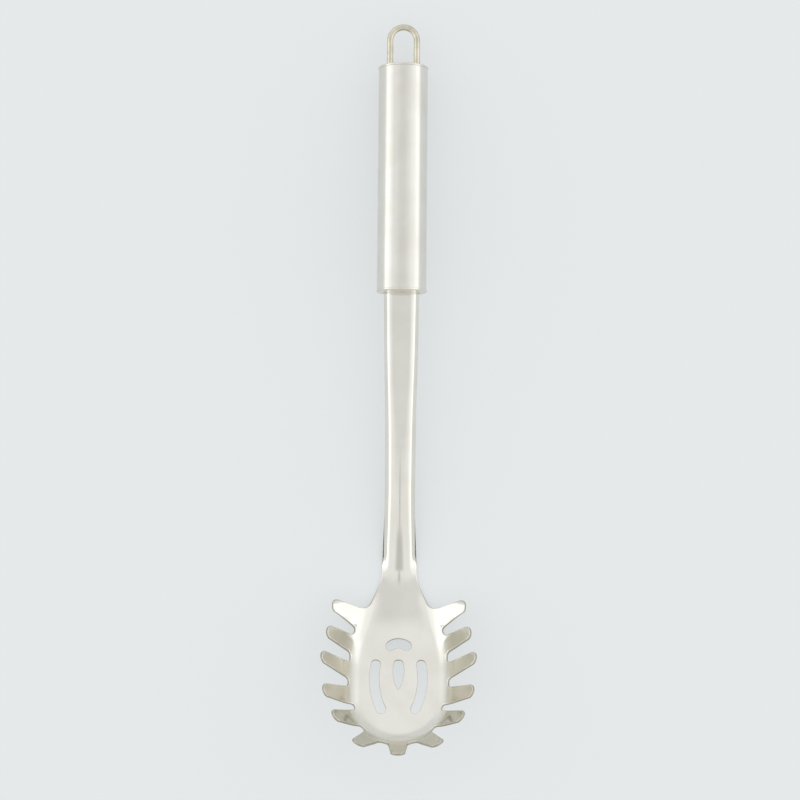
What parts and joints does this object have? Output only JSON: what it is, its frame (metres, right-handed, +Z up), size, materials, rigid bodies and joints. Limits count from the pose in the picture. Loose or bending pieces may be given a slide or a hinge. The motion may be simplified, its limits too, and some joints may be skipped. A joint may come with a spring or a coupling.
{
  "type": "pasta server",
  "caption": "Pasta server with a round hollow handle, a wire hanging loop and a pitched bowl with tines round its edge and drain holes in its floor.",
  "frame": {"origin": "on the table, under the middle of the object as it lies face up", "axes": "+X to the right, +Y from the bowl towards the hanging loop, +Z up"},
  "size_m": [0.0694, 0.323, 0.0533],
  "materials": {
    "pressed_sheet": "polished stainless steel",
    "brushed_tube": "finely brushed round the tube",
    "cap_metal": "satin stainless steel",
    "loop_wire": "polished stainless steel wire",
    "weld_metal": "plain weld, hidden inside the handle"
  },
  "bodies": {
    "root": {"bowl_and_stem": "pressed_sheet", "handle_tube": "brushed_tube", "lower_end_cap": "cap_metal", "upper_end_cap": "cap_metal", "hanging_loop": "loop_wire", "stem_weld": "weld_metal", "loop_weld": "weld_metal"}
  },
  "joints": []
}
